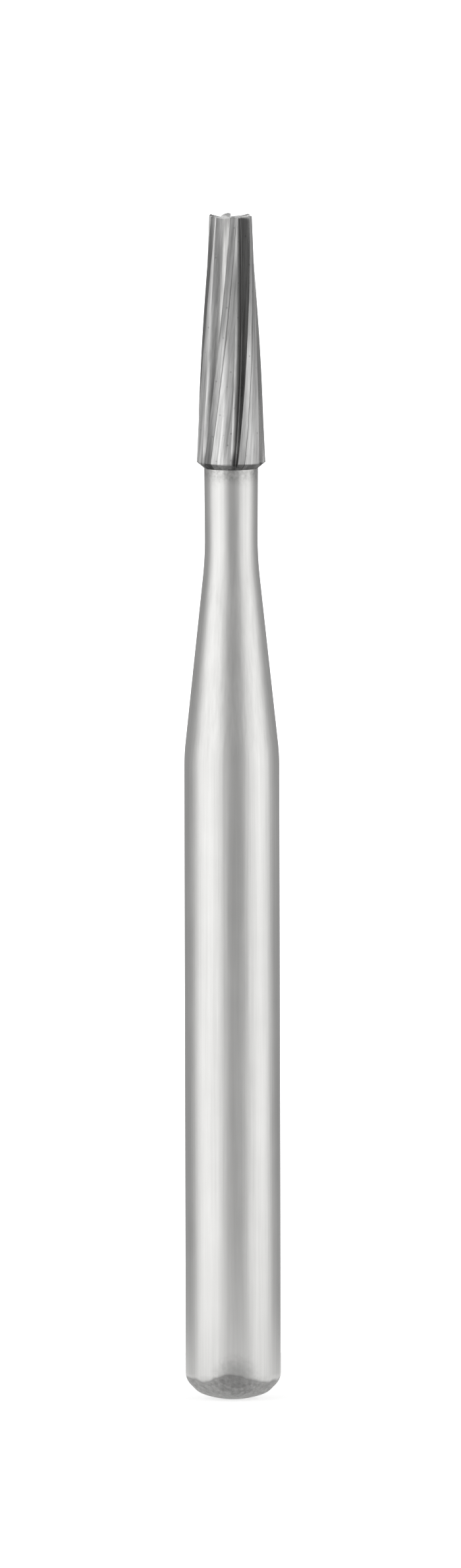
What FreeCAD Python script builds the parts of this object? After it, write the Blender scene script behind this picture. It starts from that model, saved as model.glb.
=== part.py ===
import FreeCAD, Part
import math
import os

# Dental bur with a plain tapered fluted head and a friction-grip shank.
# One solid, in millimetres. The axis is Z, the shank's end is at Z 0 and the cutting tip points to +Z.
# Angles round the axis are in degrees from -Y, the front, towards +X.

# Shank: a standard friction-grip cylinder with a domed, chamfered end
shank_diameter = 1.60
shank_length = 10.862
end_dome_radius = 1.50
end_chamfer_width = 0.210
end_chamfer_angle = 45.7
end_chamfer_blend = 0.30
end_dome_blend = 0.35

# Taper from the shank to the neck
taper_length = 3.336
shoulder_blend = 4.15
neck_blend = 6.2

# Neck: very slightly thicker towards the head
neck_length = 1.493
neck_thin_diameter = 0.885
neck_head_diameter = 0.906

# Head: a tapered envelope, widest at its back, with a rounded tip rim
head_length = 4.164
head_tip_diameter = 0.748
head_back_diameter = 1.180
underside_angle = 50.0
tip_rim_radius = 0.040

# Blades: a land behind each edge, a relieved top up to a shoulder, a back, a gullet and a steep flank.
# Towards the head's back the tops widen and the flutes grow narrower and shallower.
# Depths and fillets are shares of the rim's radius, the bulge is a share of the back's width.
blade_count = 6
blade_twist_per_mm = 11.75
first_blade_angle = 0.0
land_angle = 12.0
land_relief_angle = 5.0
top_relief_angle = 3.5
shoulder_angle_at_back = 48.0
shoulder_angle_at_tip = 19.0
gullet_depth_at_back = 0.20
gullet_depth_at_tip = 0.50
gullet_radius_ratio = 0.04
back_bulge_ratio = 0.07
steep_flank_lean = 2.0

# Tip face: shallow dish, with a radial notch at each flute
tip_dish_depth = 0.030
tip_notch_radius = 0.500
tip_notch_depth = 0.025
tip_notch_slope = 4.0

# Modelling allowance past a cut face, and the height between two sections of a flute
overrun = 0.25
section_step = 0.35

# Radii and heights that follow from the sizes above
shank_radius = shank_diameter / 2
neck_thin_radius = neck_thin_diameter / 2
neck_head_radius = neck_head_diameter / 2
head_back_radius = head_back_diameter / 2
head_tip_radius = head_tip_diameter / 2
taper_top = shank_length + taper_length
neck_top = taper_top + neck_length
underside_height = (head_back_radius - neck_head_radius) / math.tan(math.radians(underside_angle))
head_back = neck_top + underside_height
head_tip = head_back + head_length
blade_pitch = 360.0 / blade_count


def profile_point(radius, height):
    """Point of a turned profile, in the XZ plane."""
    return FreeCAD.Vector(radius, 0, height)


def section_point(radius, angle, height):
    """Point at an angle round the axis, counted from -Y towards +X."""
    turn = math.radians(angle)
    return FreeCAD.Vector(radius * math.sin(turn), -radius * math.cos(turn), height)


def tangent_arc(before, corner, after, radius):
    """Arc that rounds the corner of two straight lines, as its start, middle and end."""
    back = (before - corner).normalize()
    ahead = (after - corner).normalize()
    half = back.getAngle(ahead) / 2
    start = corner + back * (radius / math.tan(half))
    end = corner + ahead * (radius / math.tan(half))
    bisector = (back + ahead).normalize()
    middle = corner + bisector * (radius / math.sin(half) - radius)
    return start, middle, end


def blend_centre(line_point, line_direction, circle_centre, distance):
    """Last point along a directed line that lies at a distance from a circle's centre."""
    gap = line_point - circle_centre
    along = gap.dot(line_direction)
    root = along * along - gap.dot(gap) + distance * distance
    return line_point + line_direction * (math.sqrt(max(root, 0.0)) - along)


def line(start, end):
    """Straight edge."""
    return Part.LineSegment(start, end).toShape()


def arc(start, middle, end):
    """Circular edge through three points."""
    return Part.Arc(start, middle, end).toShape()


def arc_about(centre, start, end):
    """Arc from start to end the short way round a centre."""
    radius = (start - centre).Length
    middle = centre + (start + end - centre * 2).normalize() * radius
    return arc(start, middle, end)


def turned(edges):
    """Solid of revolution about Z from the edges of a closed half profile."""
    face = Part.Face(Part.Wire(edges))
    return face.revolve(FreeCAD.Vector(0, 0, 0), FreeCAD.Vector(0, 0, 1), 360)


def shank_end_edges():
    """Dome, blend, chamfer and blend, from the pole to the cylinder's lower edge."""
    slope = math.radians(end_chamfer_angle)
    chamfer_inner = shank_radius - end_chamfer_width
    dome_centre = profile_point(0, end_dome_radius)
    dome_edge = end_dome_radius - math.sqrt(end_dome_radius ** 2 - chamfer_inner ** 2)
    chamfer_start = profile_point(chamfer_inner, dome_edge)
    chamfer_end = profile_point(shank_radius, dome_edge + end_chamfer_width * math.tan(slope))
    rise = FreeCAD.Vector(math.cos(slope), 0, math.sin(slope))
    inward = FreeCAD.Vector(-math.sin(slope), 0, math.cos(slope))
    centre = blend_centre(chamfer_start + inward * end_dome_blend, rise * -1,
                          dome_centre, end_dome_radius - end_dome_blend)
    outward = (centre - dome_centre).normalize()
    dome_tangent = dome_centre + outward * end_dome_radius
    chamfer_tangent = centre - inward * end_dome_blend
    pole = profile_point(0, 0)
    corner = tangent_arc(chamfer_tangent, chamfer_end, profile_point(shank_radius, shank_length),
                         end_chamfer_blend)
    edges = [arc_about(dome_centre, pole, dome_tangent),
             arc_about(centre, dome_tangent, chamfer_tangent),
             line(chamfer_tangent, corner[0]),
             arc(*corner)]
    return edges, corner[2]


def shank_and_neck():
    """Turned shank, taper and neck, from the domed end to the head's underside."""
    edges, start = shank_end_edges()
    shoulder_corner = profile_point(shank_radius, shank_length)
    neck_corner = profile_point(neck_thin_radius, taper_top)
    neck_end = profile_point(neck_head_radius, neck_top)
    shoulder = tangent_arc(start, shoulder_corner, neck_corner, shoulder_blend)
    throat = tangent_arc(shoulder_corner, neck_corner, neck_end, neck_blend)
    seat = profile_point(neck_head_radius, neck_top + underside_height / 2)
    top_centre = profile_point(0, seat.z)
    edges += [line(start, shoulder[0]),
              arc(*shoulder),
              line(shoulder[2], throat[0]),
              arc(*throat),
              line(throat[2], neck_end),
              line(neck_end, seat),
              line(seat, top_centre),
              line(top_centre, profile_point(0, 0))]
    return turned(edges)


def rim_radius(height):
    """Radius of the cone that carries the blades' edges."""
    share = (height - head_back) / head_length
    return head_back_radius + (head_tip_radius - head_back_radius) * share


def between(at_back, at_tip, height):
    """Value that changes evenly from the head's back to its tip."""
    return at_back + (at_tip - at_back) * (height - head_back) / head_length


def gullet_radius(height):
    """Radius of the flute's floor."""
    return rim_radius(height) * (1 - between(gullet_depth_at_back, gullet_depth_at_tip, height))


def blade_edges(height, edge_angle):
    """Land, top, back, gullet and steep flank of one blade's pitch, at one height."""
    rim = rim_radius(height)
    land_radius = rim * (1 - math.radians(land_angle) * math.tan(math.radians(land_relief_angle)))
    shoulder_angle = between(shoulder_angle_at_back, shoulder_angle_at_tip, height)
    top_angle = max(shoulder_angle - land_angle, 1.0)
    top_fall = rim * math.radians(top_angle) * math.tan(math.radians(top_relief_angle))
    edge = section_point(rim, edge_angle, height)
    land_end = section_point(land_radius, edge_angle + land_angle, height)
    top_middle = section_point(land_radius - top_fall / 2, edge_angle + land_angle + top_angle / 2, height)
    shoulder = section_point(land_radius - top_fall, edge_angle + land_angle + top_angle, height)
    next_edge = section_point(rim, edge_angle + blade_pitch, height)
    foot = section_point(gullet_radius(height), edge_angle + blade_pitch - steep_flank_lean, height)

    chord = foot - shoulder
    across = FreeCAD.Vector(chord.y, -chord.x, 0).normalize()
    bulge = back_bulge_ratio * chord.Length
    back_radius = chord.Length ** 2 / (8 * bulge) + bulge / 2
    back_centre = (shoulder + foot) * 0.5 + across * (bulge - back_radius)

    steep = (next_edge - foot).normalize()
    away = FreeCAD.Vector(steep.y, -steep.x, 0)
    fillet = gullet_radius_ratio * rim
    centre = blend_centre(foot + away * fillet, steep, back_centre, back_radius + fillet)
    on_back = back_centre + (centre - back_centre).normalize() * back_radius
    on_steep = centre - away * fillet
    return [line(edge, land_end),
            arc(land_end, top_middle, shoulder),
            arc_about(back_centre, shoulder, on_back),
            arc_about(centre, on_back, on_steep),
            line(on_steep, next_edge)]


def fluted_section(height):
    """Closed outline of all the blades at one height, turned by the twist."""
    turn = first_blade_angle - blade_twist_per_mm * (head_tip - height)
    edges = []
    for blade in range(blade_count):
        edges += blade_edges(height, turn + blade * blade_pitch)
    return Part.Wire(edges)


def fluted_cone():
    """Twisted cone with all the flutes, longer than the head at both ends."""
    low = neck_top
    high = head_tip + overrun
    count = max(int(math.ceil((high - low) / section_step)), 4)
    sections = [fluted_section(low + (high - low) * i / count) for i in range(count + 1)]
    return Part.makeLoft(sections, True, False)


def head_envelope():
    """Turned blank of the head: conical underside, straight sides outside the blades, rounded dished tip."""
    outer = head_back_radius + overrun
    outer_height = neck_top + (outer - neck_head_radius) / math.tan(math.radians(underside_angle))
    rim_at_tip = rim_radius(head_tip)
    rim_low = profile_point(rim_at_tip, head_tip - tip_rim_radius)
    rim_mid = profile_point(rim_at_tip - tip_rim_radius * (1 - math.sqrt(0.5)),
                            head_tip - tip_rim_radius * (1 - math.sqrt(0.5)))
    rim_high = profile_point(rim_at_tip - tip_rim_radius, head_tip)
    flare = profile_point(outer, head_tip - tip_rim_radius - (outer - rim_at_tip))
    low_centre = profile_point(0, neck_top)
    return turned([line(low_centre, profile_point(neck_head_radius, neck_top)),
                   line(profile_point(neck_head_radius, neck_top), profile_point(outer, outer_height)),
                   line(profile_point(outer, outer_height), flare),
                   line(flare, rim_low),
                   arc(rim_low, rim_mid, rim_high),
                   line(rim_high, profile_point(0, head_tip - tip_dish_depth)),
                   line(profile_point(0, head_tip - tip_dish_depth), low_centre)])


def tip_notch(angle):
    """Round groove that runs outwards over the tip face, between two blades."""
    length = head_tip_radius + overrun
    bottom = head_tip - tip_notch_depth
    start = FreeCAD.Vector(0, 0, bottom + tip_notch_radius - length * math.tan(math.radians(tip_notch_slope)))
    outward = section_point(math.cos(math.radians(tip_notch_slope)), angle,
                            math.sin(math.radians(tip_notch_slope)))
    return Part.makeCylinder(tip_notch_radius, 1.2 * length, start, outward)


def head():
    """Fluted head: the twisted cone inside the turned envelope, with the notches over its tip."""
    solid = fluted_cone().common(head_envelope())
    middle_of_flute = first_blade_angle + (land_angle + blade_pitch) / 2
    for blade in range(blade_count):
        solid = solid.cut(tip_notch(middle_of_flute + blade * blade_pitch))
    return solid


def bur():
    """Whole tool, fused into one piece."""
    return shank_and_neck().fuse(head()).removeSplitter()


def main():
    os.makedirs("parts", exist_ok=True)
    shape = bur()
    solid = shape.Solids[0]
    print("solids", len(shape.Solids), "valid", shape.isValid(), "volume mm3", round(shape.Volume, 4))
    box = shape.optimalBoundingBox(True, False)
    print("height", round(box.ZMax, 4), "width", round(box.XLength, 4))
    solid.exportStep("parts/bur.step")


main()
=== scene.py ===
"""Looks of a plain tapered dental bur: turned shank and neck, fluted head, studio and camera.

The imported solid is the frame. Two finer pieces stand for it, built in millimetres and scaled to metres
at the end: the turned shank with its taper and neck, and the fluted head. The axis is Z, the domed end is
at Z 0 and the tip points to +Z. Angles round the axis are counted from -Y, the front, towards +X.
"""

import logging
import math
from dataclasses import dataclass, field
from enum import Enum
from typing import Iterable, Sequence

import bmesh
import bpy
from mathutils import Matrix, Vector


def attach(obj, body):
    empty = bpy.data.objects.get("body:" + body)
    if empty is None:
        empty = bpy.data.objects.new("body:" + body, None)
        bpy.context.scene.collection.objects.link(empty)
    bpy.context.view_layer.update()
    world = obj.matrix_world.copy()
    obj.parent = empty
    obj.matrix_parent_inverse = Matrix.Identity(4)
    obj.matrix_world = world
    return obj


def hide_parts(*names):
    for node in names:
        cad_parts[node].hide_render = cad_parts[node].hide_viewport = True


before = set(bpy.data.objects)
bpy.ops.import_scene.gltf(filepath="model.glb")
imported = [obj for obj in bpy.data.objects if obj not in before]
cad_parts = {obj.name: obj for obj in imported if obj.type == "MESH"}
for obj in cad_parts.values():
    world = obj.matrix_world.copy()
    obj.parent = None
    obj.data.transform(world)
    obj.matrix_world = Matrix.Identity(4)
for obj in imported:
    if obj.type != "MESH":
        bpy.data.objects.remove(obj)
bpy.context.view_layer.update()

MM = 0.001
BODY = "root"
NODE = "bur"

Colour = tuple[float, float, float, float]
Span = tuple[float, float]
Socket = bpy.types.NodeSocket
log = logging.getLogger("dental_bur")


class Flute(Enum):
    """The surfaces of one blade's pitch, in the order in which a section runs through them."""

    LAND = "land"
    TOP = "relieved top"
    BACK = "back"
    GULLET = "gullet"
    STEEP = "steep flank"


def grey(level: float, warmth: float = 0.0) -> Colour:
    """A neutral linear colour, made slightly warmer by lowering its blue."""
    return (level, level * (1.0 - 0.2 * warmth), level * (1.0 - warmth), 1.0)


def round_axis(radius: float, angle: float, height: float) -> Vector:
    """A point at a radius, an angle in degrees from -Y towards +X, and a height."""
    turn = math.radians(angle)
    return Vector((radius * math.sin(turn), -radius * math.cos(turn), height))


def last_at_distance(start: Vector, direction: Vector, centre: Vector, distance: float) -> Vector:
    """Find the last point along a directed line that lies at a distance from a centre.

    Args:
        start: a point of the line.
        direction: the line's unit direction.
        centre: the point to keep away from.
        distance: how far away, in millimetres.

    Returns:
        The point on the line.
    """
    gap = start - centre
    along = gap.dot(direction)
    root = along * along - gap.dot(gap) + distance * distance
    return start + direction * (math.sqrt(max(root, 0.0)) - along)


def arc_share(centre: Vector, start: Vector, end: Vector, share: float) -> Vector:
    """A point at a share of the short level arc from start to end round a centre.

    Args:
        centre: the arc's centre.
        start: the arc's first point.
        end: its last point.
        share: 0 for the first point, 1 for the last one.

    Returns:
        The point on the arc.
    """
    first, last = start - centre, end - centre
    angle = math.atan2(first.x * last.y - first.y * last.x, first.dot(last))
    return centre + Matrix.Rotation(angle * share, 3, "Z") @ first


class ProfilePen:
    """Draws a half profile in the XZ plane as a chain of bmesh edges: straight runs and spun arcs."""

    def __init__(self, mesh: bmesh.types.BMesh, start: Vector) -> None:
        """Set the pen down.

        Args:
            mesh: the mesh that gets the profile.
            start: the profile's first point.
        """
        self.mesh = mesh
        self.tip = mesh.verts.new(start)

    def run_to(self, point: Vector) -> None:
        """Draw a straight run to a point.

        Args:
            point: the run's end.
        """
        made = bmesh.ops.extrude_vert_indiv(self.mesh, verts=[self.tip])
        self.tip = made["verts"][0]
        bmesh.ops.translate(self.mesh, verts=[self.tip], vec=point - self.tip.co)

    def arc_to(self, point: Vector, centre: Vector, steps: int) -> None:
        """Spin the pen's point round a centre until it meets a point at the same radius.

        Args:
            point: the arc's end.
            centre: the arc's centre.
            steps: how many edges the arc gets.
        """
        here, there = self.tip.co - centre, point - centre
        angle = math.atan2(here.z * there.x - here.x * there.z, here.dot(there))
        made = bmesh.ops.spin(self.mesh, geom=[self.tip], cent=centre, axis=(0, 1, 0), angle=angle,
                              steps=steps)
        self.tip = next(part for part in made["geom_last"] if isinstance(part, bmesh.types.BMVert))
        self.tip.co = point

    def round_corner(self, corner: Vector, after: Vector, radius: float, steps: int) -> None:
        """Run up to a corner and round it with a tangent arc towards the point after it.

        Args:
            corner: where the two straight lines meet.
            after: a point of the second line.
            radius: the arc's radius.
            steps: how many edges the arc gets.
        """
        back = (self.tip.co - corner).normalized()
        ahead = (after - corner).normalized()
        half = back.angle(ahead) / 2
        reach = radius / math.tan(half)
        centre = corner + (back + ahead).normalized() * (radius / math.sin(half))
        self.run_to(corner + back * reach)
        self.arc_to(corner + ahead * reach, centre, steps)


class Piece:
    """A mesh piece of the bur: built in millimetres, finished in metres at the origin."""

    name = "piece"

    def build(self, mesh: bmesh.types.BMesh) -> None:
        """Shape the piece in millimetres."""
        raise NotImplementedError

    def crease(self, mesh: bmesh.types.BMesh) -> None:
        """Mark further edges that stay crisp, after the steep ones."""

    def make(self, material: bpy.types.Material, crisp_angle: float = 26.0) -> bpy.types.Object:
        """Build the mesh, give it its finish and put it on the frame.

        Args:
            material: the piece's finish.
            crisp_angle: edges that turn by more than this, in degrees, stay crisp.

        Returns:
            The finished object, riding on the bur's body.
        """
        mesh = bmesh.new()
        self.build(mesh)
        bmesh.ops.recalc_face_normals(mesh, faces=mesh.faces)
        for face in mesh.faces:
            face.smooth = True
        for edge in mesh.edges:
            edge.smooth = edge.calc_face_angle(0.0) < math.radians(crisp_angle)
        self.crease(mesh)
        bmesh.ops.scale(mesh, vec=(MM, MM, MM), verts=mesh.verts)
        data = bpy.data.meshes.new(self.name)
        mesh.to_mesh(data)
        mesh.free()
        data.materials.append(material)
        piece = bpy.data.objects.new(self.name, data)
        bpy.context.scene.collection.objects.link(piece)
        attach(piece, BODY)
        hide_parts(NODE)
        log.info("%s: %d faces", self.name, len(data.polygons))
        return piece


@dataclass
class TurnedShank(Piece):
    """Friction-grip shank with a domed, chamfered end, its taper and the slim neck, in millimetres."""

    name: str = "shank_and_neck"
    shank_radius: float = 0.80
    shank_length: float = 10.862
    end_dome_radius: float = 1.50
    end_chamfer_width: float = 0.210
    end_chamfer_angle: float = 45.7
    end_chamfer_blend: float = 0.30
    end_dome_blend: float = 0.35
    taper_length: float = 3.336
    shoulder_blend: float = 4.15
    neck_blend: float = 6.2
    neck_length: float = 1.493
    neck_thin_radius: float = 0.4425
    neck_head_radius: float = 0.453
    seat_depth: float = 0.05
    turns: int = 144
    dome_steps: int = 12
    dome_blend_steps: int = 8
    corner_steps: int = 12
    throat_steps: int = 14

    @property
    def taper_top(self) -> float:
        """Height where the taper would meet the neck without its blend."""
        return self.shank_length + self.taper_length

    @property
    def neck_top(self) -> float:
        """Height where the neck meets the head's underside."""
        return self.taper_top + self.neck_length

    def draw_end(self, pen: ProfilePen) -> None:
        """Draw the dome, its blend and the chamfer, from the pole outwards.

        Args:
            pen: the pen, set down at the pole.
        """
        slope = math.radians(self.end_chamfer_angle)
        inner = self.shank_radius - self.end_chamfer_width
        dome_centre = Vector((0, 0, self.end_dome_radius))
        dome_edge = self.end_dome_radius - math.sqrt(self.end_dome_radius ** 2 - inner ** 2)
        rise = Vector((math.cos(slope), 0, math.sin(slope)))
        inward = Vector((-math.sin(slope), 0, math.cos(slope)))
        centre = last_at_distance(Vector((inner, 0, dome_edge)) + inward * self.end_dome_blend, -rise,
                                  dome_centre, self.end_dome_radius - self.end_dome_blend)
        on_dome = dome_centre + (centre - dome_centre).normalized() * self.end_dome_radius
        on_chamfer = centre - inward * self.end_dome_blend
        pen.arc_to(on_dome, dome_centre, self.dome_steps)
        pen.arc_to(on_chamfer, centre, self.dome_blend_steps)
        corner = Vector((self.shank_radius, 0, dome_edge + self.end_chamfer_width * math.tan(slope)))
        shoulder = Vector((self.shank_radius, 0, self.shank_length))
        pen.round_corner(corner, shoulder, self.end_chamfer_blend, self.corner_steps)

    def build(self, mesh: bmesh.types.BMesh) -> None:
        """Draw the half profile and spin it round the axis.

        Args:
            mesh: the mesh that gets the piece.
        """
        pen = ProfilePen(mesh, Vector((0, 0, 0)))
        self.draw_end(pen)
        shoulder = Vector((self.shank_radius, 0, self.shank_length))
        throat = Vector((self.neck_thin_radius, 0, self.taper_top))
        neck_end = Vector((self.neck_head_radius, 0, self.neck_top))
        pen.round_corner(shoulder, throat, self.shoulder_blend, self.corner_steps)
        pen.round_corner(throat, neck_end, self.neck_blend, self.throat_steps)
        pen.run_to(neck_end)
        pen.run_to(neck_end + Vector((0, 0, self.seat_depth)))
        pen.run_to(Vector((0, 0, self.neck_top + self.seat_depth)))
        bmesh.ops.spin(mesh, geom=list(mesh.verts) + list(mesh.edges), cent=(0, 0, 0), axis=(0, 0, 1),
                       angle=math.tau, steps=self.turns, use_merge=True)
        bmesh.ops.remove_doubles(mesh, verts=mesh.verts, dist=1e-5)


@dataclass
class FlutedHead(Piece):
    """Tapered head with six helical blades over a conical underside, in millimetres."""

    name: str = "fluted_head"
    neck_top: float = 15.691
    neck_radius: float = 0.453
    head_length: float = 4.164
    tip_radius: float = 0.374
    back_radius: float = 0.590
    underside_angle: float = 50.0
    tip_rim_radius: float = 0.040
    blade_count: int = 6
    twist_per_mm: float = 11.75
    first_blade: float = 0.0
    land_angle: float = 12.0
    land_relief: float = 5.0
    top_relief: float = 3.5
    shoulder_at_back: float = 48.0
    shoulder_at_tip: float = 19.0
    gullet_depth_at_back: float = 0.20
    gullet_depth_at_tip: float = 0.50
    gullet_fillet: float = 0.04
    back_bulge: float = 0.07
    steep_lean: float = 2.0
    tip_dish: float = 0.030
    notch_radius: float = 0.500
    notch_depth: float = 0.025
    notch_slope: float = 4.0
    notch_reach: float = 0.624
    row_crowding: float = 1.45
    low_rounds: int = 8
    high_rounds: int = 4
    line_tolerance: float = 1e-3
    innermost_line: float = 0.7
    columns: dict[Flute, int] = field(default_factory=lambda: {
        Flute.LAND: 4, Flute.TOP: 7, Flute.BACK: 10, Flute.GULLET: 5, Flute.STEEP: 4})
    underside_rows: int = 4
    flute_rows: int = 120
    tip_shares: tuple[float, ...] = (0.9975, 0.99, 0.978, 0.96, 0.94, 0.915, 0.885, 0.84, 0.77, 0.68, 0.56,
                                     0.42, 0.28, 0.14)

    @property
    def back_height(self) -> float:
        """Height of the widest part, where the underside meets the blades' edges."""
        return self.underside_at(self.back_radius)

    @property
    def tip_height(self) -> float:
        """Height of the tip's rim."""
        return self.back_height + self.head_length

    @property
    def pitch(self) -> float:
        """Angle from one blade to the next."""
        return 360.0 / self.blade_count

    def rim(self, height: float) -> float:
        """Radius of the cone that carries the blades' edges."""
        share = (height - self.back_height) / self.head_length
        return self.back_radius + (self.tip_radius - self.back_radius) * share

    def between(self, at_back: float, at_tip: float, height: float) -> float:
        """Value that changes evenly from the head's back to its tip."""
        return at_back + (at_tip - at_back) * (height - self.back_height) / self.head_length

    def floor(self, height: float) -> float:
        """Radius of the flute's floor: the flutes grow shallower towards the head's back."""
        depth = self.between(self.gullet_depth_at_back, self.gullet_depth_at_tip, height)
        return self.rim(height) * (1 - depth)

    def turn(self, height: float) -> float:
        """Angle of the first blade's edge at a height."""
        return self.first_blade - self.twist_per_mm * (self.tip_height - height)

    def section(self, column: int, height: float) -> Vector:
        """Place one column's point in the section at a height.

        Args:
            column: the column's number, counted round the whole head.
            height: the section's height.

        Returns:
            The point on the blade's outline.
        """
        blade, place = divmod(column, self.columns_per_pitch)
        edge_angle = self.turn(height) + blade * self.pitch
        rim = self.rim(height)
        land_radius = rim * (1 - math.radians(self.land_angle) * math.tan(math.radians(self.land_relief)))
        land_end = round_axis(land_radius, edge_angle + self.land_angle, height)
        if place < self.columns[Flute.LAND]:
            return round_axis(rim, edge_angle, height).lerp(land_end, place / self.columns[Flute.LAND])
        place -= self.columns[Flute.LAND]
        top_angle = self.between(self.shoulder_at_back, self.shoulder_at_tip, height) - self.land_angle
        top_fall = rim * math.radians(top_angle) * math.tan(math.radians(self.top_relief))
        if place < self.columns[Flute.TOP]:
            share = place / self.columns[Flute.TOP]
            angle = edge_angle + self.land_angle + top_angle * share
            return round_axis(land_radius - top_fall * share, angle, height)
        place -= self.columns[Flute.TOP]
        shoulder = round_axis(land_radius - top_fall, edge_angle + self.land_angle + top_angle, height)
        next_edge = round_axis(rim, edge_angle + self.pitch, height)
        foot = round_axis(self.floor(height), edge_angle + self.pitch - self.steep_lean, height)
        chord = foot - shoulder
        bulge = self.back_bulge * chord.length
        back_radius = chord.length ** 2 / (8 * bulge) + bulge / 2
        across = Vector((chord.y, -chord.x, 0)).normalized()
        back_centre = (shoulder + foot) / 2 + across * (bulge - back_radius)
        steep = (next_edge - foot).normalized()
        away = Vector((steep.y, -steep.x, 0))
        fillet = self.gullet_fillet * rim
        centre = last_at_distance(foot + away * fillet, steep, back_centre, back_radius + fillet)
        on_back = back_centre + (centre - back_centre).normalized() * back_radius
        on_steep = centre - away * fillet
        if place < self.columns[Flute.BACK]:
            return arc_share(back_centre, shoulder, on_back, place / self.columns[Flute.BACK])
        place -= self.columns[Flute.BACK]
        if place < self.columns[Flute.GULLET]:
            return arc_share(centre, on_back, on_steep, place / self.columns[Flute.GULLET])
        place -= self.columns[Flute.GULLET]
        return on_steep.lerp(next_edge, place / self.columns[Flute.STEEP])

    @property
    def columns_per_pitch(self) -> int:
        """How many columns one blade's pitch has."""
        return sum(self.columns.values())

    def underside_at(self, radius: float) -> float:
        """Height of the conical underside at a radius."""
        return self.neck_top + (radius - self.neck_radius) / math.tan(math.radians(self.underside_angle))

    def tip_at(self, place: Vector) -> float:
        """Height of the tip's surface over a place: the lowest of the dish, the rounded rim and the notches.

        Args:
            place: a point whose height is ignored.

        Returns:
            The height of the surface there.
        """
        radius = math.hypot(place.x, place.y)
        flat = self.tip_radius - self.tip_rim_radius
        past = min(max(radius - flat, 0.0), self.tip_rim_radius)
        height = self.tip_height - self.tip_dish * max(1 - radius / flat, 0.0)
        height -= self.tip_rim_radius - math.sqrt(self.tip_rim_radius ** 2 - past ** 2)
        slope = math.radians(self.notch_slope)
        axis_low = self.tip_height - self.notch_depth + self.notch_radius - self.notch_reach * math.tan(slope)
        first_notch = self.first_blade + (self.land_angle + self.pitch) / 2
        for blade in range(self.blade_count):
            ahead = round_axis(1.0, first_notch + blade * self.pitch, 0)
            along = place.x * ahead.x + place.y * ahead.y
            aside = place.x * ahead.y - place.y * ahead.x
            if along > 0 and abs(aside) < self.notch_radius:
                hollow = math.sqrt(self.notch_radius ** 2 - aside ** 2) / math.cos(slope)
                height = min(height, axis_low + along * math.tan(slope) - hollow)
        return height

    def column_ends(self, column: int) -> tuple[float, float]:
        """Find where a column leaves the underside and where it meets the tip.

        Args:
            column: the column's number.

        Returns:
            The lowest and the highest height of the column.
        """
        low, high = self.neck_top, self.tip_height
        for _ in range(self.low_rounds):
            point = self.section(column, low)
            low = min(self.underside_at(math.hypot(point.x, point.y)), self.back_height)
        for _ in range(self.high_rounds):
            high = self.tip_at(self.section(column, high))
        return low, high

    def next_ring(self, mesh: bmesh.types.BMesh, ring: Sequence[bmesh.types.BMVert],
                  places: Iterable[Vector]) -> list[bmesh.types.BMVert]:
        """Extrude a ring of vertices and move the new ones to their places.

        Args:
            mesh: the mesh that is built.
            ring: the open edge's vertices, column by column.
            places: where each column's new vertex goes.

        Returns:
            The new ring, column by column.
        """
        edges = [mesh.edges.get((ring[i - 1], ring[i])) for i in range(len(ring))]
        made = bmesh.ops.extrude_edge_only(mesh, edges=edges)
        fresh = {part for part in made["geom"] if isinstance(part, bmesh.types.BMVert)}
        above = []
        for vert, place in zip(ring, places):
            new = next(edge.other_vert(vert) for edge in vert.link_edges if edge.other_vert(vert) in fresh)
            new.co = place
            above.append(new)
        return above

    def row_share(self, row: int) -> float:
        """Share of a column's height for a row: the rows lie closer together near the head's back."""
        return (row / self.flute_rows) ** self.row_crowding

    def build(self, mesh: bmesh.types.BMesh) -> None:
        """Build the underside, the flutes and the tip ring by ring, from the neck's circle upwards.

        Args:
            mesh: the mesh that gets the piece.
        """
        count = self.blade_count * self.columns_per_pitch
        ends = [self.column_ends(column) for column in range(count)]
        lows = [self.section(column, ends[column][0]) for column in range(count)]
        made = bmesh.ops.create_circle(mesh, cap_ends=True, segments=count, radius=self.neck_radius)
        ring = made["verts"]
        starts = [Vector((low.x, low.y, 0)).normalized() * self.neck_radius for low in lows]
        for vert, start in zip(ring, starts):
            vert.co = start + Vector((0, 0, self.neck_top))
        for row in range(1, self.underside_rows + 1):
            share = row / self.underside_rows
            ring = self.next_ring(mesh, ring, [
                (start + Vector((0, 0, self.neck_top))).lerp(low, share) for start, low in zip(starts, lows)])
        for row in range(1, self.flute_rows + 1):
            ring = self.next_ring(mesh, ring, [
                self.section(column, low + (high - low) * self.row_share(row))
                for column, (low, high) in enumerate(ends)])
        rim = [vert.co.copy() for vert in ring]
        for share in self.tip_shares:
            places = [Vector((point.x * share, point.y * share, 0)) for point in rim]
            ring = self.next_ring(mesh, ring, [
                Vector((place.x, place.y, self.tip_at(place))) for place in places])
        bmesh.ops.contextual_create(mesh, geom=[mesh.edges.get((ring[i - 1], ring[i])) for i in range(count)])
        centre = bmesh.ops.poke(mesh, faces=[face for face in mesh.faces if len(face.verts) == count])
        for vert in centre["verts"]:
            if vert.co.z > self.back_height:
                vert.co = Vector((0, 0, self.tip_at(Vector((0.001, 0, 0)))))
        self.label_flutes(mesh)

    def label_flutes(self, mesh: bmesh.types.BMesh) -> None:
        """Lay a map over the flutes: across the pitch from the cutting edge, and along the axis.

        Args:
            mesh: the finished mesh.
        """
        layer = mesh.loops.layers.uv.new("grind")
        for face in mesh.faces:
            middle = face.calc_center_median()
            reference = self.place_in_pitch(middle)
            for loop in face.loops:
                place = self.place_in_pitch(loop.vert.co)
                place += round(reference - place)
                loop[layer].uv = (place, (loop.vert.co.z - self.back_height) / self.head_length)

    def place_in_pitch(self, point: Vector) -> float:
        """Where a point lies between two cutting edges, from 0 at one to 1 at the next."""
        angle = math.degrees(math.atan2(point.x, -point.y)) - self.turn(point.z)
        return (angle / self.pitch) % 1.0

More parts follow.
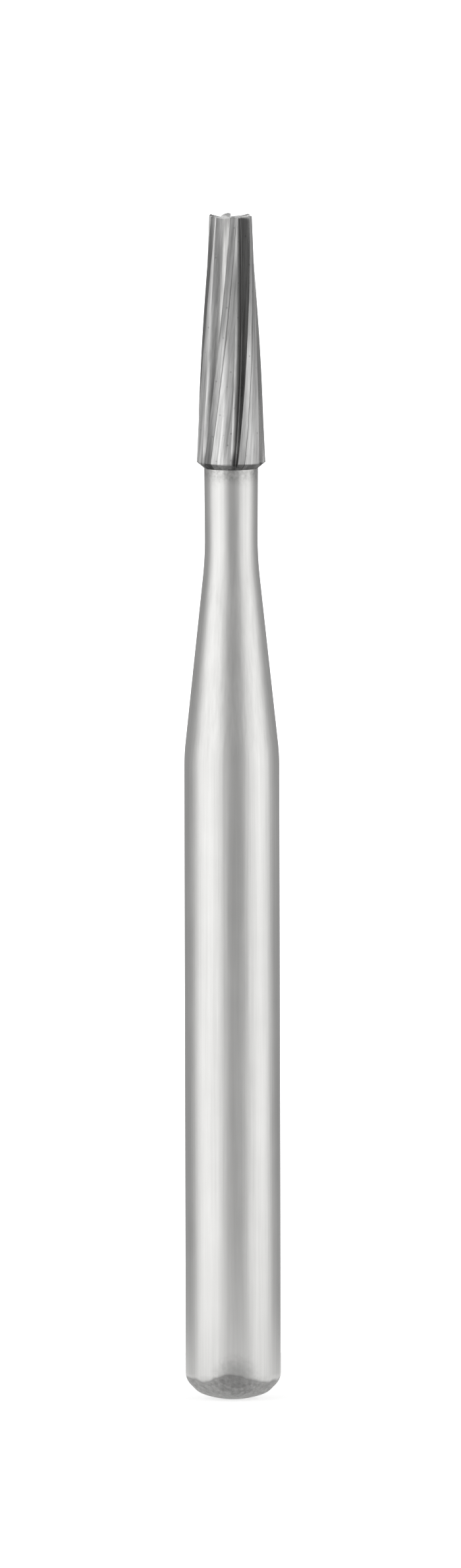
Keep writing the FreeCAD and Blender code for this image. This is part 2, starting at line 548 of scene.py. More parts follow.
    def crease(self, mesh: bmesh.types.BMesh) -> None:
        """Keep the line between each land and its top crisp.

        Args:
            mesh: the finished mesh.
        """
        land_end = self.land_angle / self.pitch
        for edge in mesh.edges:
            shares = [self.place_in_pitch(vert.co) for vert in edge.verts]
            radii = [math.hypot(vert.co.x, vert.co.y) for vert in edge.verts]
            on_line = all(abs(share - land_end) < self.line_tolerance for share in shares)
            if on_line and min(radii) > self.neck_radius * self.innermost_line:
                edge.smooth = False


class Sheet:
    """Places nodes in a node tree and links them."""

    def __init__(self, tree: bpy.types.NodeTree) -> None:
        """Work in a node tree."""
        self.tree = tree

    def add(self, kind: str, settings: dict[str, object] | None = None,
            inputs: dict[str | int, object] | None = None) -> bpy.types.Node:
        """Place a node, set its properties and its inputs.

        Args:
            kind: the node's type name.
            settings: properties of the node.
            inputs: values for its sockets, or sockets to link to them.

        Returns:
            The new node.
        """
        node = self.tree.nodes.new(kind)
        for key, value in (settings or {}).items():
            setattr(node, key, value)
        for key, value in (inputs or {}).items():
            if isinstance(value, Socket):
                self.tree.links.new(value, node.inputs[key])
            else:
                node.inputs[key].default_value = value
        return node

    def math(self, operation: str, *values: float | Socket, clamp: bool = False) -> Socket:
        """Place a Math node and return its result."""
        node = self.add("ShaderNodeMath", {"operation": operation, "use_clamp": clamp},
                        dict(enumerate(values)))
        return node.outputs[0]

    def remap(self, value: Socket, low: float, high: float, to_low: float = 0.0,
              to_high: float = 1.0, smooth: bool = False) -> Socket:
        """Place a Map Range node that clamps, and return its result.

        Args:
            value: the value to map.
            low: where the change starts.
            high: where it ends.
            to_low: the result at the start.
            to_high: the result at the end.
            smooth: whether the change eases in and out.

        Returns:
            The mapped value.
        """
        kind = "SMOOTHSTEP" if smooth else "LINEAR"
        node = self.add("ShaderNodeMapRange", {"interpolation_type": kind, "clamp": True},
                        {"Value": value, "From Min": low, "From Max": high, "To Min": to_low,
                         "To Max": to_high})
        return node.outputs["Result"]

    def mix(self, share: Socket | float, first: Colour | Socket,
            second: Colour | Socket) -> Socket:
        """Mix two colours and return the result.

        Args:
            share: how much of the second colour shows.
            first: the first colour.
            second: the second colour.

        Returns:
            The mixed colour.
        """
        node = self.add("ShaderNodeMix", {"data_type": "RGBA"})
        for place, value in ((0, share), (6, first), (7, second)):
            if isinstance(value, Socket):
                self.tree.links.new(value, node.inputs[place])
            else:
                node.inputs[place].default_value = value
        return node.outputs[2]

    def fade(self, value: Socket, span: Span, at_low: float, at_high: float) -> Socket:
        """Change evenly between two places given in millimetres, and return the result."""
        return self.remap(value, span[0] * MM, span[1] * MM, at_low, at_high)

    def product(self, first: Socket, *others: float | Socket) -> Socket:
        """Multiply values one after another and return the result.

        Args:
            first: the first value.
            others: the values to multiply it by.

        Returns:
            The product.
        """
        result = first
        for other in others:
            result = self.math("MULTIPLY", result, other)
        return result


@dataclass(frozen=True)
class Streaks:
    """How closely grinding streaks lie across and along the axis, per metre."""

    across: float
    along: float


class Effects:
    """Shader node groups that more than one finish uses."""

    def __init__(self) -> None:
        """Build each group once."""
        self.streaks = self.build_streaks()
        self.pits = self.build_pits()
        self.mottle = self.build_mottle()
        self.zone = self.build_zone()

    def streaked(self, sheet: Sheet, place: Socket, kind: Streaks, twist: float = 0.0) -> Socket:
        """Place grinding streaks in a finish, with a twist in radians per metre."""
        return sheet.add("ShaderNodeGroup", {"node_tree": self.streaks},
                         {"Vector": place, "Twist": twist, "Across": kind.across,
                          "Along": kind.along}).outputs[0]

    def mottled(self, sheet: Sheet, place: Socket, scale: float) -> Socket:
        """Place cloudy stains of a scale in a finish."""
        return sheet.add("ShaderNodeGroup", {"node_tree": self.mottle},
                         {"Vector": place, "Scale": scale}).outputs[0]

    def zoned(self, sheet: Sheet, place: Socket, span: Span, wave: float, scale: float) -> Socket:
        """Place a zone along the axis in a finish, its span and wave in millimetres."""
        return sheet.add("ShaderNodeGroup", {"node_tree": self.zone},
                         {"Vector": place, "From": span[0] * MM, "To": span[1] * MM, "Wave": wave * MM,
                          "Scale": scale}).outputs[0]

    @staticmethod
    def start(name: str, inputs: dict[str, float | None], output: str) -> tuple[Sheet, bpy.types.Node]:
        """Start a group with float inputs, or a vector input where the value is None.

        Args:
            name: the group's name.
            inputs: the sockets' names and values.
            output: the name of the value that it puts out.

        Returns:
            The sheet to work on and the group's input node.
        """
        tree = bpy.data.node_groups.new(name, "ShaderNodeTree")
        for label, value in inputs.items():
            kind = "NodeSocketVector" if value is None else "NodeSocketFloat"
            socket = tree.interface.new_socket(label, in_out="INPUT", socket_type=kind)
            if value is not None:
                socket.default_value = value
        tree.interface.new_socket(output, in_out="OUTPUT", socket_type="NodeSocketFloat")
        sheet = Sheet(tree)
        return sheet, sheet.add("NodeGroupInput")

    @classmethod
    def build_streaks(cls) -> bpy.types.NodeTree:
        """Grinding streaks along the axis, or along a helix when twisted.

        Returns:
            The group's node tree.
        """
        sheet, given = cls.start("grinding_streaks", {"Vector": None, "Twist": 0.0, "Across": 20000.0,
                                                      "Along": 300.0}, "Streaks")
        parts = sheet.add("ShaderNodeSeparateXYZ", inputs={0: given.outputs["Vector"]})
        angle = sheet.product(parts.outputs["Z"], given.outputs["Twist"], -1.0)
        turned = sheet.add("ShaderNodeVectorRotate", {"rotation_type": "Z_AXIS"},
                           {"Vector": given.outputs["Vector"], "Angle": angle})
        scale = sheet.add("ShaderNodeCombineXYZ",
                          inputs={0: given.outputs["Across"], 1: given.outputs["Across"],
                                  2: given.outputs["Along"]})
        spread = sheet.add("ShaderNodeVectorMath", {"operation": "MULTIPLY"},
                           {0: turned.outputs[0], 1: scale.outputs[0]})
        noise = sheet.add("ShaderNodeTexNoise", inputs={"Vector": spread.outputs[0], "Scale": 1.0,
                                                        "Detail": 4.0, "Roughness": 0.62})
        sheet.add("NodeGroupOutput", inputs={0: sheet.remap(noise.outputs[0], 0.34, 0.66)})
        return sheet.tree

    @classmethod
    def build_pits(cls) -> bpy.types.NodeTree:
        """Small scattered pits, 1 inside a pit.

        Returns:
            The group's node tree.
        """
        sheet, given = cls.start("small_pits", {"Vector": None, "Scale": 20000.0, "Size": 0.2, "Share": 0.4},
                                 "Pits")
        cells = sheet.add("ShaderNodeTexVoronoi", inputs={"Vector": given.outputs["Vector"],
                                                          "Scale": given.outputs["Scale"]})
        near = sheet.math("LESS_THAN", cells.outputs["Distance"], given.outputs["Size"])
        outwards = sheet.math("DIVIDE", cells.outputs["Distance"], given.outputs["Size"])
        soft = sheet.math("SUBTRACT", 1.0, outwards, clamp=True)
        parts = sheet.add("ShaderNodeSeparateColor", inputs={0: cells.outputs["Color"]})
        chosen = sheet.math("LESS_THAN", parts.outputs[0], given.outputs["Share"])
        sheet.add("NodeGroupOutput", inputs={0: sheet.product(near, chosen, soft)})
        return sheet.tree

    @classmethod
    def build_mottle(cls) -> bpy.types.NodeTree:
        """Cloudy stains, from 0 to 1.

        Returns:
            The group's node tree.
        """
        sheet, given = cls.start("mottle", {"Vector": None, "Scale": 3000.0, "Softness": 0.2}, "Mottle")
        noise = sheet.add("ShaderNodeTexNoise", inputs={"Vector": given.outputs["Vector"],
                                                        "Scale": given.outputs["Scale"], "Detail": 5.0,
                                                        "Roughness": 0.6})
        low = sheet.math("SUBTRACT", 0.5, given.outputs["Softness"])
        high = sheet.math("ADD", 0.5, given.outputs["Softness"])
        node = sheet.add("ShaderNodeMapRange", {"clamp": True},
                         {"Value": noise.outputs[0], "From Min": low, "From Max": high})
        sheet.add("NodeGroupOutput", inputs={0: node.outputs["Result"]})
        return sheet.tree

    @classmethod
    def build_zone(cls) -> bpy.types.NodeTree:
        """A zone along the axis: 0 below one height, 1 above another, with a wavy border.

        Returns:
            The group's node tree.
        """
        sheet, given = cls.start("zone_along_axis", {"Vector": None, "From": 0.0, "To": 0.001, "Wave": 0.0,
                                                     "Scale": 1000.0}, "Mask")
        parts = sheet.add("ShaderNodeSeparateXYZ", inputs={0: given.outputs["Vector"]})
        noise = sheet.add("ShaderNodeTexNoise", inputs={"Vector": given.outputs["Vector"],
                                                        "Scale": given.outputs["Scale"], "Detail": 3.0})
        swing = sheet.math("MULTIPLY", sheet.math("SUBTRACT", noise.outputs[0], 0.5), given.outputs["Wave"])
        node = sheet.add("ShaderNodeMapRange", {"interpolation_type": "SMOOTHSTEP", "clamp": True},
                         {"Value": sheet.math("ADD", parts.outputs["Z"], swing),
                          "From Min": given.outputs["From"], "From Max": given.outputs["To"]})
        sheet.add("NodeGroupOutput", inputs={0: node.outputs["Result"]})
        return sheet.tree


@dataclass(frozen=True)
class SatinShankFinish:
    """Satin ground carbide of the shank and neck, matte from tumbling at the end, with staining under the
    head; painted shade darkens both the end and the band under the head further.

    Heights and reaches are in millimetres, scales of clouds and grains are per metre.
    """

    name: str = "satin_ground_carbide"
    light: Colour = grey(0.60, 0.02)
    dark: Colour = grey(0.50, 0.02)
    # The end's grey comes from tumbling and is lowered further as painted shade on the downward-facing end.
    end: Colour = grey(0.42, 0.02)
    end_dark: Colour = grey(0.26, 0.02)
    smudge: Colour = grey(0.13, 0.02)
    # Dark band under the head: staining, darkened further by painted shade under the head's overhang.
    stain_and_shade: Colour = grey(0.12, 0.05)
    fine: Streaks = Streaks(across=22000.0, along=260.0)
    broad: Streaks = Streaks(across=4500.0, along=240.0)
    fine_share: float = 0.55
    cloud_scale: float = 900.0
    grain_scale: float = 14000.0
    end_border: Span = (0.30, 0.42)
    border_wave: float = 0.34
    border_scale: float = 1500.0
    border_lift: float = 0.13
    border_share: float = 0.45
    smudge_place: tuple[float, float, float] = (0.04, -0.80, 0.40)
    smudge_core: float = 0.10
    smudge_reach: float = 0.50
    smudge_fray: float = 0.10
    smudge_share: float = 0.45
    # Where the band of staining and painted shade lies under the head, in millimetres.
    stain_and_shade_border: Span = (15.371, 15.671)
    stain_and_shade_wave: float = 0.28
    stain_and_shade_scale: float = 2600.0
    stain_and_shade_share: float = 0.55
    roughness: float = 0.42
    end_roughness: float = 0.62
    cloud_roughness: float = 0.06
    end_grain: float = 0.4
    bump_strength: float = 0.25
    bump_depth: float = 0.0015

    def make(self, effects: Effects) -> bpy.types.Material:
        """Build the material.

        Args:
            effects: the shared node groups.

        Returns:
            The finished material.
        """
        material = bpy.data.materials.new(self.name)
        material.use_nodes = True
        sheet = Sheet(material.node_tree)
        shader = material.node_tree.nodes["Principled BSDF"]
        place = sheet.add("ShaderNodeTexCoord").outputs["Object"]
        streaks = effects.streaked(sheet, place, self.fine)
        broad = effects.streaked(sheet, place, self.broad)
        clouds = effects.mottled(sheet, place, self.cloud_scale)
        grains = effects.mottled(sheet, place, self.grain_scale)
        away = sheet.add("ShaderNodeVectorMath", {"operation": "DISTANCE"},
                         {0: place, 1: Vector(self.smudge_place) * MM}).outputs["Value"]
        lift = sheet.add("ShaderNodeCombineXYZ", inputs={2: sheet.remap(
            away, 0.0, self.smudge_reach * MM, -self.border_lift * MM, 0.0, smooth=True)})
        lifted = sheet.add("ShaderNodeVectorMath", {"operation": "ADD"}, {0: place, 1: lift.outputs[0]})
        shaft = effects.zoned(sheet, lifted.outputs[0], self.end_border, self.border_wave, self.border_scale)
        near_head = effects.zoned(sheet, place, self.stain_and_shade_border, self.stain_and_shade_wave, self.stain_and_shade_scale)
        lines = sheet.math("ADD", sheet.math("MULTIPLY", streaks, self.fine_share),
                           sheet.math("MULTIPLY", broad, 1.0 - self.fine_share))
        ground = sheet.mix(lines, self.dark, self.light)
        # End colour: grain from tumbling, with painted shade in its darker grey.
        tumbled_and_shaded = sheet.mix(grains, self.end_dark, self.end)
        body = sheet.mix(shaft, tumbled_and_shaded, ground)
        from_border = sheet.math("ABSOLUTE", sheet.math("SUBTRACT", sheet.math("MULTIPLY", shaft, 2.0), 1.0))
        border = sheet.math("MULTIPLY", sheet.math("SUBTRACT", 1.0, from_border), self.border_share)
        body = sheet.mix(border, body, self.smudge)
        fray = sheet.math("MULTIPLY", sheet.math("SUBTRACT", grains, 0.5), self.smudge_fray * MM)
        rubbed = sheet.remap(sheet.math("ADD", away, fray), self.smudge_core * MM, self.smudge_reach * MM,
                             self.smudge_share, 0.0, smooth=True)
        body = sheet.mix(rubbed, body, self.smudge)
        # Painted shade under the head's overhang, mottled with staining, darkens the neck's top.
        stained_and_shaded = sheet.mix(sheet.product(near_head, grains, self.stain_and_shade_share), body, self.stain_and_shade)
        sheet.tree.links.new(stained_and_shaded, shader.inputs["Base Color"])
        cloudy = sheet.math("MULTIPLY", sheet.math("SUBTRACT", clouds, 0.5), self.cloud_roughness)
        satin = sheet.math("ADD", cloudy, self.roughness)
        matte = sheet.math("MULTIPLY", sheet.math("SUBTRACT", 1.0, shaft),
                           self.end_roughness - self.roughness)
        sheet.tree.links.new(sheet.math("ADD", satin, matte), shader.inputs["Roughness"])
        shader.inputs["Metallic"].default_value = 1.0
        grainy = sheet.math("MULTIPLY", grains, sheet.math("SUBTRACT", 1.0 + self.end_grain, shaft))
        relief = sheet.math("ADD", sheet.math("MULTIPLY", streaks, shaft), grainy)
        bump = sheet.add("ShaderNodeBump", inputs={"Strength": self.bump_strength,
                                                   "Distance": self.bump_depth * MM, "Height": relief})
        sheet.tree.links.new(bump.outputs[0], shader.inputs["Normal"])
        return material


@dataclass(frozen=True)
class FlutedHeadFinish:
    """Ground carbide of the head: dull lands, streaked tops, painted shade in the gullets and on the
    underside, and scratches with painted shade at the back.

    Places across a pitch run from 0 at a cutting edge to 1 at the next one, places along the head from 0 at
    its back to 1 at its tip. Spans in X are in millimetres: painted light and shade make the blades brighter
    or darker towards one side, and those tones lie on the part.
    """

    name: str = "ground_flute_carbide"
    light: Colour = grey(0.76, 0.01)
    dark: Colour = grey(0.30, 0.01)
    pit: Colour = grey(0.05)
    # Scratches and painted shade in the gullets at the head's back.
    scratch_and_shade: Colour = grey(0.035)
    fine: Streaks = Streaks(across=24000.0, along=400.0)
    broad: Streaks = Streaks(across=9000.0, along=300.0)
    cloud_scale: float = 2500.0
    top_tone: float = 0.92
    # Painted light and shade on the tops by X: brighter at -X, in the middle and far +X, darker towards +X.
    top_at_left: float = 1.40
    top_in_middle: float = 1.22
    top_at_right: float = 0.76
    top_at_far_right: float = 1.85
    left_span: Span = (-0.54, -0.44)
    middle: float = -0.07
    middle_span: Span = (0.06, 0.16)
    right_span: Span = (0.12, 0.27)
    far_right_span: Span = (0.37, 0.45)
    land_tone: float = 0.80
    # Painted shade darkens the lands towards -X.
    shaded_land_tone: float = 0.36
    shaded_land_span: Span = (-0.34, -0.16)
    land_tone_at_back: float = 0.72
    land_back_zone: float = 0.3
    land_end_at_back: float = 0.205
    land_end_at_tip: float = 0.262
    land_border: Span = (-0.012, 0.018)
    # Painted shade: a dark line in the crease where each land meets its top.
    land_line_shade_tone: float = 0.40
    land_line_place: float = 0.004
    land_line_width: Span = (0.004, 0.022)
    edge_tone: float = 0.6
    edge_width: Span = (0.004, 0.024)
    border_swing: float = 0.024
    shoulder_at_back: float = 0.80
    shoulder_at_tip: float = 0.32
    gullet_border: Span = (-0.02, 0.16)
    # Painted shade in the gullets, mostly left off the upper flutes towards -X.
    gullet_shade_tone: float = 0.40
    unshaded_gullet_tone: float = 0.98
    unshaded_gullet_span: Span = (-0.04, 0.06)
    unshaded_gullet_zone: Span = (0.25, 0.60)
    flank_start: float = 0.962
    flank_border: float = 0.005
    # The steep flank is lifted out of the gullets' painted shade to this tone.
    flank_tone: float = 0.75
    # Painted shade on the head's downward-facing underside.
    underside_shade_tone: float = 0.50
    underside_border: Span = (-0.006, 0.001)
    pit_scale: float = 16000.0
    pit_size: float = 0.36
    pit_share: float = 0.06
    pit_darkness: float = 0.55
    scratch_shade_gullet: Span = (0.62, 0.90)
    scratch_shade_edge: Span = (0.985, 1.0)
    scratch_shade_on_edge: float = 0.4
    scratch_shade_zone: float = 0.062
    scratch_shade_span: Span = (0.15, 0.30)
    scratch_shade_at_right: float = 0.2
    scratch_shade_streaks: Span = (0.1, 0.7)
    scratch_shade_in_streaks: float = 0.55
    scratch_patch_roughness: float = 0.3
    roughness: float = 0.40
    flank_roughness: float = 0.20
    cloud_roughness: float = 0.05
    twist_per_mm: float = 11.75
    bump_strength: float = 0.3
    bump_depth: float = 0.0025

    def land_factor(self, sheet: Sheet, along: Socket, side: Socket) -> Socket:
        """Brightness of the lands: painted shade darkens them towards -X, and they are darker at the head's
        back.
        """
        shaded = sheet.fade(side, self.shaded_land_span, self.shaded_land_tone, self.land_tone)
        return sheet.product(shaded, sheet.remap(along, 0.0, self.land_back_zone, self.land_tone_at_back, 1.0))

    def top_painted_light(self, sheet: Sheet, side: Socket) -> Socket:
        """Painted light and shade on the tops, brighter or darker from side to side.

        Args:
            sheet: the node tree to add to.
            side: the place's X in metres.

        Returns:
            The factor on the ground colour.
        """
        from_middle = sheet.math("ABSOLUTE", sheet.math("SUBTRACT", side, self.middle * MM))
        return sheet.product(
            sheet.fade(side, self.left_span, self.top_at_left, self.top_tone),
            sheet.fade(from_middle, self.middle_span, self.top_in_middle, 1.0),
            sheet.fade(side, self.right_span, 1.0, self.top_at_right),
            sheet.fade(side, self.far_right_span, 1.0, self.top_at_far_right))

    def gullet_painted_shade(self, sheet: Sheet, place: Socket, along: Socket, side: Socket) -> Socket:
        """Painted shade past the shoulder into the gullet, which the upper flutes towards -X don't get.

        Args:
            sheet: the node tree to add to.
            place: the place in the pitch.
            along: the share of the head's length, from its back.
            side: the place's X in metres.

        Returns:
            The factor on the ground colour.
        """
        shoulder = sheet.remap(along, 0.0, 1.0, self.shoulder_at_back, self.shoulder_at_tip)
        unshaded = sheet.product(sheet.fade(side, self.unshaded_gullet_span, 1.0, 0.0),
                              sheet.remap(along, *self.unshaded_gullet_zone))
        depth = sheet.remap(sheet.math("SUBTRACT", place, shoulder), *self.gullet_border, smooth=True)
        loss = sheet.remap(unshaded, 0.0, 1.0, 1.0 - self.gullet_shade_tone, 1.0 - self.unshaded_gullet_tone)
        return sheet.math("SUBTRACT", 1.0, sheet.math("MULTIPLY", depth, loss))

    def on_flank(self, sheet: Sheet, across: Socket, change: float) -> Socket:
        """A change that starts at the steep flank's foot."""
        return sheet.remap(across, self.flank_start, self.flank_start + self.flank_border, 0.0, change)

    def tone_across(self, sheet: Sheet, across: Socket, along: Socket, side: Socket,
                    swing: Socket) -> Socket:
        """Brightness of the ground surface from one cutting edge to the next.

        Args:
            sheet: the node tree to add to.
            across: the place in the pitch.
            along: the share of the head's length, from its back.
            side: the place's X in metres.
            swing: small shifts of the place in the pitch, so that the borders wander.

        Returns:
            The factor on the ground colour.
        """
        place = sheet.math("ADD", across, swing)
        land_end = sheet.remap(along, 0.0, 1.0, self.land_end_at_back, self.land_end_at_tip)
        past_land = sheet.math("SUBTRACT", place, land_end)
        on_top = sheet.remap(past_land, *self.land_border)
        on_land = sheet.math("SUBTRACT", 1.0, on_top)
        outside = sheet.math("ADD", sheet.product(self.land_factor(sheet, along, side), on_land),
                             sheet.product(self.top_painted_light(sheet, side), on_top))
        # Painted shade in the gullets, with the steep flank lifted out of it.
        inside = sheet.product(outside, self.gullet_painted_shade(sheet, place, along, side))
        ground = sheet.math("ADD", inside, self.on_flank(sheet, across, self.flank_tone - self.gullet_shade_tone))
        # Painted shade in the crease between land and top.
        from_line = sheet.math("ABSOLUTE", sheet.math("SUBTRACT", past_land, self.land_line_place))
        return sheet.product(
            ground, sheet.remap(from_line, *self.land_line_width, self.land_line_shade_tone, 1.0),
            sheet.remap(place, *self.edge_width, self.edge_tone, 1.0),
            # painted shade on the underside
            sheet.remap(along, *self.underside_border, self.underside_shade_tone, 1.0))

    def scratch_shade_mask(self, sheet: Sheet, across: Socket, along: Socket, side: Socket,
                     streaks: Socket) -> Socket:
        """Where scratches and painted shade darken the gullets at the head's back, less towards +X.

        Args:
            sheet: the node tree to add to.
            across: the place in the pitch.
            along: the share of the head's length, from its back.
            side: the place's X in metres.
            streaks: the broad streaks that the patch follows.

        Returns:
            How much of the scratched, shaded patch covers the surface.
        """
        return sheet.product(
            sheet.remap(across, *self.scratch_shade_gullet, smooth=True),
            sheet.remap(across, *self.scratch_shade_edge, 1.0, self.scratch_shade_on_edge),
            sheet.remap(along, 0.0, self.scratch_shade_zone, 1.0, 0.0, smooth=True),
            sheet.fade(side, self.scratch_shade_span, 1.0, self.scratch_shade_at_right),
            sheet.remap(streaks, *self.scratch_shade_streaks, 1.0, self.scratch_shade_in_streaks))

    def make(self, effects: Effects) -> bpy.types.Material:
        """Build the material.

        Args:
            effects: the shared node groups.

        Returns:
            The finished material.
        """
        material = bpy.data.materials.new(self.name)
        material.use_nodes = True
        sheet = Sheet(material.node_tree)
        shader = material.node_tree.nodes["Principled BSDF"]
        place = sheet.add("ShaderNodeTexCoord").outputs["Object"]
        side = sheet.add("ShaderNodeSeparateXYZ", inputs={0: place}).outputs["X"]
        grind = sheet.add("ShaderNodeSeparateXYZ",
                          inputs={0: sheet.add("ShaderNodeUVMap", {"uv_map": "grind"}).outputs[0]})
        across, along = grind.outputs["X"], grind.outputs["Y"]
        twist = math.radians(self.twist_per_mm) / MM
        streaks = effects.streaked(sheet, place, self.fine, twist)
        broad = effects.streaked(sheet, place, self.broad, twist)
        clouds = effects.mottled(sheet, place, self.cloud_scale)
        pits = sheet.add("ShaderNodeGroup", {"node_tree": effects.pits},
                         {"Vector": place, "Scale": self.pit_scale, "Size": self.pit_size,
                          "Share": self.pit_share}).outputs[0]
        lines = sheet.math("MULTIPLY", sheet.math("ADD", streaks, broad), 0.5)
        swing = sheet.math("MULTIPLY", sheet.math("SUBTRACT", clouds, 0.5), self.border_swing)
        tone = self.tone_across(sheet, across, along, side, swing)
        ground = sheet.mix(lines, self.dark, self.light)
        toned = sheet.add("ShaderNodeVectorMath", {"operation": "SCALE"}, {0: ground, "Scale": tone})
        pitted = sheet.mix(sheet.math("MULTIPLY", pits, self.pit_darkness, clamp=True), toned.outputs[0],
                           self.pit)
        # Scratches and painted shade darken the gullets at the head's back.
        scratch_shade = self.scratch_shade_mask(sheet, across, along, side, broad)
        sheet.tree.links.new(sheet.mix(scratch_shade, pitted, self.scratch_and_shade), shader.inputs["Base Color"])
        smooth = self.on_flank(sheet, across, self.flank_roughness - self.roughness)
        uneven = sheet.math("ADD", sheet.math("MULTIPLY", clouds, self.cloud_roughness),
                            sheet.math("MULTIPLY", scratch_shade, self.scratch_patch_roughness))
        rough = sheet.math("ADD", sheet.math("ADD", smooth, self.roughness), uneven)
        sheet.tree.links.new(rough, shader.inputs["Roughness"])
        shader.inputs["Metallic"].default_value = 1.0
        relief = sheet.math("SUBTRACT", lines, pits)
        bump = sheet.add("ShaderNodeBump", inputs={"Strength": self.bump_strength,
                                                   "Distance": self.bump_depth * MM, "Height": relief})
        sheet.tree.links.new(bump.outputs[0], shader.inputs["Normal"])
        return material


@dataclass(frozen=True)
class PaleStageFinish:
    """Pale matte surface that shows white to the camera and in the metal, and keeps the object's shadow."""

    name: str
    albedo: float = 0.8
    glow: float = 0.62

    def make(self) -> bpy.types.Material:
        """Build the material.

        Returns:
            The finished material.
        """
        material = bpy.data.materials.new(self.name)
        material.use_nodes = True
        sheet = Sheet(material.node_tree)
        material.node_tree.nodes.remove(material.node_tree.nodes["Principled BSDF"])
        out = material.node_tree.nodes["Material Output"]
        rays = sheet.add("ShaderNodeLightPath")
        seen = sheet.math("MAXIMUM", rays.outputs["Is Camera Ray"], sheet.math(
            "MAXIMUM", rays.outputs["Is Glossy Ray"], rays.outputs["Is Transmission Ray"]))
        matte = sheet.add("ShaderNodeBsdfDiffuse", inputs={"Color": grey(self.albedo)})
        glow = sheet.add("ShaderNodeEmission", inputs={"Color": grey(1.0),
                                                       "Strength": sheet.math("MULTIPLY", seen, self.glow)})
        both = sheet.add("ShaderNodeAddShader", inputs={0: matte.outputs[0], 1: glow.outputs[0]})
        sheet.tree.links.new(both.outputs[0], out.inputs["Surface"])
        return material


@dataclass(frozen=True)
class SoftBox:
    """A large soft lamp that faces the bur."""

    name: str
    azimuth: float
    width: float
    strength: float
    distance: float = 0.25
    height: float = 0.40
    centre_height: float = 0.010

    def make(self) -> bpy.types.Object:
        """Build the lamp: its strength is the brightness of its face.

        Returns:
            The lamp's object.
        """
        lamp = bpy.data.lights.new(self.name, "AREA")
        lamp.shape = "RECTANGLE"
        lamp.size, lamp.size_y = self.width, self.height
        lamp.energy = self.strength * math.pi * self.width * self.height
        lamp.color = (1.0, 1.0, 1.0)
        holder = bpy.data.objects.new(self.name, lamp)
        bpy.context.scene.collection.objects.link(holder)
        away = round_axis(self.distance, self.azimuth, 0.0)
        holder.location = away + Vector((0, 0, self.centre_height))
        holder.rotation_euler = away.to_track_quat("Z", "Y").to_euler()
        holder.visible_camera = False
        return holder


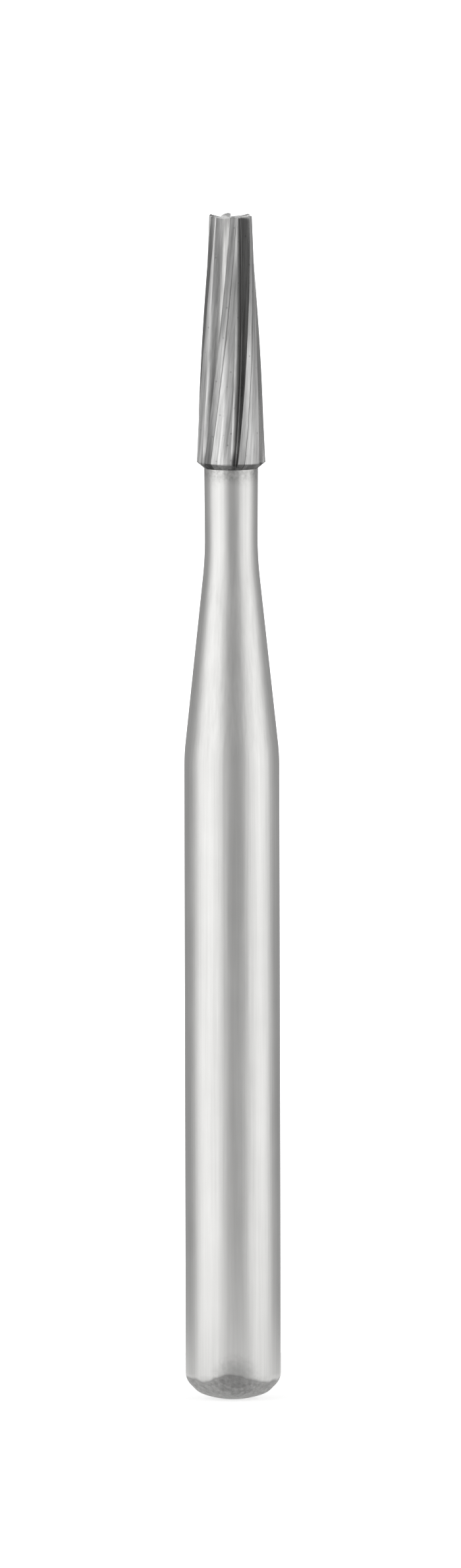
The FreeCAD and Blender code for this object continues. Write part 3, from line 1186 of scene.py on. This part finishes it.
@dataclass
class Studio:
    """Pale round table, white backdrop, two soft boxes and a plain grey room."""

    table_radius: float = 8.0
    table_thickness: float = 2.0
    table_sides: int = 96
    backdrop_width: float = 60.0
    backdrop_height: float = 200.0
    backdrop_distance: float = 150.0
    room: float = 0.42
    boxes: tuple[SoftBox, ...] = (
        SoftBox("soft_box_left", azimuth=-58.5, width=0.37, strength=1.35),
        SoftBox("soft_box_right", azimuth=68.0, width=0.30, strength=1.25),
    )

    def add_stage(self, name: str, mesh: bmesh.types.BMesh, material: bpy.types.Material) -> None:
        """Make a stage object from a mesh in millimetres.

        Args:
            name: the object's name.
            mesh: its shape, freed here.
            material: its finish.
        """
        bmesh.ops.scale(mesh, vec=(MM, MM, MM), verts=mesh.verts)
        data = bpy.data.meshes.new(name)
        mesh.to_mesh(data)
        mesh.free()
        data.materials.append(material)
        holder = bpy.data.objects.new(name, data)
        bpy.context.scene.collection.objects.link(holder)

    def make(self) -> None:
        """Build the stage, the lamps and the room's light."""
        table = bmesh.new()
        bmesh.ops.create_circle(table, cap_ends=True, segments=self.table_sides,
                                radius=self.table_radius)
        made = bmesh.ops.extrude_face_region(table, geom=list(table.faces))
        bmesh.ops.translate(table, vec=(0, 0, -self.table_thickness),
                            verts=[part for part in made["geom"] if isinstance(part, bmesh.types.BMVert)])
        bmesh.ops.recalc_face_normals(table, faces=table.faces)
        self.add_stage("floor", table, PaleStageFinish("pale_table").make())
        card = bmesh.new()
        bmesh.ops.create_grid(card, x_segments=1, y_segments=1, size=0.5)
        bmesh.ops.scale(card, vec=(self.backdrop_width, self.backdrop_height, 1), verts=card.verts)
        bmesh.ops.rotate(card, cent=(0, 0, 0), matrix=Matrix.Rotation(math.pi / 2, 3, "X"), verts=card.verts)
        bmesh.ops.translate(card, vec=(0, self.backdrop_distance, 0), verts=card.verts)
        self.add_stage("backdrop", card, PaleStageFinish("white_backdrop", glow=1.0).make())
        for box in self.boxes:
            box.make()
        world = bpy.data.worlds.new("grey_room")
        world.use_nodes = True
        world.node_tree.nodes["Background"].inputs["Color"].default_value = grey(self.room)
        world.node_tree.nodes["Background"].inputs["Strength"].default_value = 1.0
        bpy.context.scene.world = world
        log.info("studio: %d soft boxes", len(self.boxes))


@dataclass
class PhotoCamera:
    """Camera at the photograph's angle, its scale and framing given in pixels of the photograph."""

    elevation: float = 5.6
    roll: float = -0.1375
    frame_width: int = 700
    frame_height: int = 2379
    pixels_per_mm: float = 90.44
    axis_pixel: float = 352.06
    foot_pixel: float = 2122.2
    distance: float = 300.0
    clip_near: float = 1.0
    clip_far: float = 10000.0

    def make(self) -> bpy.types.Object:
        """Build the camera and make it the scene's own.

        Returns:
            The camera's object.
        """
        lens = bpy.data.cameras.new("camera")
        lens.type = "ORTHO"
        lens.ortho_scale = self.frame_height / self.pixels_per_mm * MM
        lens.clip_start, lens.clip_end = self.clip_near * MM, self.clip_far * MM
        holder = bpy.data.objects.new("camera", lens)
        bpy.context.scene.collection.objects.link(holder)
        tilt = math.radians(self.elevation)
        up = (self.foot_pixel - self.frame_height / 2) / self.pixels_per_mm
        aside = (self.frame_width / 2 - self.axis_pixel) / self.pixels_per_mm
        target = Vector((aside, 0, up / math.cos(tilt)))
        place = target + Vector((0, -math.cos(tilt), math.sin(tilt))) * self.distance
        holder.matrix_world = (Matrix.Translation(place * MM) @ Matrix.Rotation(math.pi / 2 - tilt, 4, "X")
                               @ Matrix.Rotation(math.radians(self.roll), 4, "Z"))
        bpy.context.scene.camera = holder
        log.info("camera: %.2f mm tall frame", lens.ortho_scale / MM)
        return holder


def main() -> None:
    """Build the bur, its stage and the camera."""
    logging.basicConfig(level=logging.INFO, format="%(message)s")
    bpy.context.scene.view_settings.view_transform = "Standard"
    effects = Effects()
    TurnedShank().make(SatinShankFinish().make(effects))
    FlutedHead().make(FlutedHeadFinish().make(effects))
    Studio().make()
    PhotoCamera().make()


if __name__ == "__main__":
    main()
